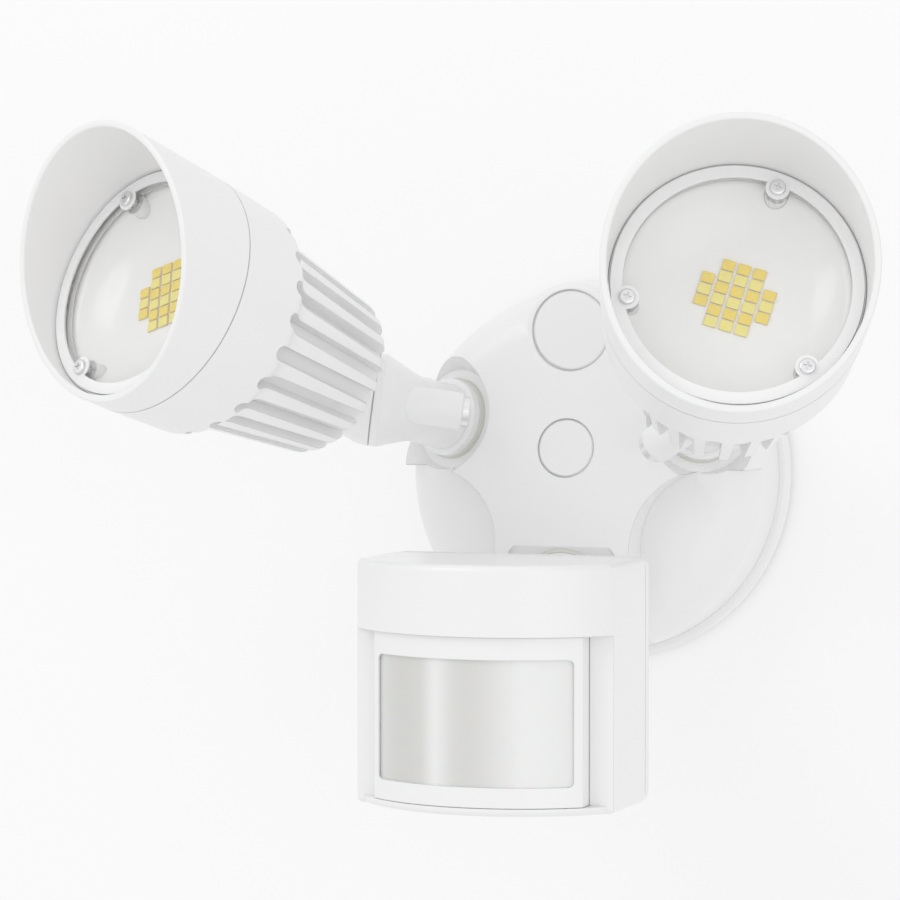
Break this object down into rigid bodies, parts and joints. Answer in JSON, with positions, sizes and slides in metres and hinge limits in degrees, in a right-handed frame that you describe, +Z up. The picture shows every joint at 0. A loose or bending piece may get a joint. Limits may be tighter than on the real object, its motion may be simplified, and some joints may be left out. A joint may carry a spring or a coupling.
{
  "type": "motion sensor security light",
  "caption": "Outdoor wall light: aimable finned lamp heads with slanted hoods on a round canopy, with a motion sensor that swivels and tilts below them.",
  "frame": {"origin": "middle of the round canopy on the plane of the wall", "axes": "+Y into the wall, +Z up, +X to the viewer's right, so the light faces -Y"},
  "size_m": [0.2658, 0.1818, 0.2019],
  "materials": {
    "white_paint": "satin",
    "seal": "matte",
    "pale_gasket": "matte",
    "foam": "matte",
    "steel": "satin",
    "white_plastic": "satin",
    "reflector_white": "gloss",
    "clear_lens": "gloss",
    "milky_window": "frosted",
    "board_white": "satin",
    "led_yellow": "gloss",
    "board_green": "satin",
    "dark_plastic": "matte",
    "dial_plastic": "satin"
  },
  "bodies": {
    "canopy": {"canopy_housing": "white_paint", "wall_gasket": "foam", "mounting_bracket": "steel", "canopy_screw": "steel", "screw_cap": "white_plastic", "top_plug": "white_paint", "driver_module": "dark_plastic", "left_socket_seal": "seal", "right_socket_seal": "seal", "sensor_socket_seal": "seal"},
    "left_arm": {"left_arm": "white_paint", "left_locknut": "steel", "left_lock_screw": "steel", "left_pivot_bolt": "steel"},
    "left_head": {"left_rear_elbow": "white_paint", "left_heat_sink": "white_paint", "left_visor_hood": "white_paint", "left_led_board": "board_white", "left_led_chips": "led_yellow", "left_reflector": "reflector_white", "left_lens_gasket": "pale_gasket", "left_front_lens": "clear_lens", "left_lens_screws": "white_paint"},
    "right_arm": {"right_arm": "white_paint", "right_locknut": "steel", "right_lock_screw": "steel", "right_pivot_bolt": "steel"},
    "right_head": {"right_rear_elbow": "white_paint", "right_heat_sink": "white_paint", "right_visor_hood": "white_paint", "right_led_board": "board_white", "right_led_chips": "led_yellow", "right_reflector": "reflector_white", "right_lens_gasket": "pale_gasket", "right_front_lens": "clear_lens", "right_lens_screws": "white_paint"},
    "sensor_arm": {"sensor_arm": "white_paint", "sensor_locknut": "steel", "sensor_pivot_pin": "steel"},
    "sensor": {"sensor_housing": "white_plastic", "sensor_lens_frame": "white_plastic", "sensor_fresnel_lens": "milky_window", "sensor_rear_cover": "white_plastic", "sensor_screws": "steel", "sensor_board": "board_green", "pyro_sensor": "steel", "control_pots": "dark_plastic"},
    "time_dial": {"time_dial": "dial_plastic"},
    "range_dial": {"range_dial": "dial_plastic"}
  },
  "joints": [
    {"name": "left_swivel", "type": "hinge", "parent": "canopy", "child": "left_arm", "pos_m": [-0.0404, -0.0349, 0.0171], "axis": [-0.4148, -0.8897, 0.1908], "range_deg": [-50, 50]},
    {"name": "left_tilt", "type": "hinge", "parent": "left_arm", "child": "left_head", "pos_m": [-0.05533, -0.06693, 0.02397], "axis": [-0.9342, -0.3303, 0.1349], "range_deg": [-55, 30]},
    {"name": "right_swivel", "type": "hinge", "parent": "canopy", "child": "right_arm", "pos_m": [0.0404, -0.0349, 0.0171], "axis": [0.4148, -0.8897, 0.1908], "range_deg": [-50, 50]},
    {"name": "right_tilt", "type": "hinge", "parent": "right_arm", "child": "right_head", "pos_m": [0.05533, -0.06693, 0.02397], "axis": [0.816, -0.3096, 0.4882], "range_deg": [-30, 55]},
    {"name": "sensor_swivel", "type": "hinge", "parent": "canopy", "child": "sensor_arm", "pos_m": [0, -0.042, -0.031], "axis": [0, -0.766, -0.6428], "range_deg": [-30, 30]},
    {"name": "sensor_tilt", "type": "hinge", "parent": "sensor_arm", "child": "sensor", "pos_m": [0, -0.05502, -0.04193], "axis": [1, 0, 0], "range_deg": [-5, 30]},
    {"name": "time_dial_turn", "type": "hinge", "parent": "sensor", "child": "time_dial", "pos_m": [-0.013, -0.107, -0.0943], "axis": [0, 0, -1], "range_deg": [0, 270]},
    {"name": "range_dial_turn", "type": "hinge", "parent": "sensor", "child": "range_dial", "pos_m": [0.013, -0.107, -0.0943], "axis": [0, 0, -1], "range_deg": [0, 270]}
  ]
}
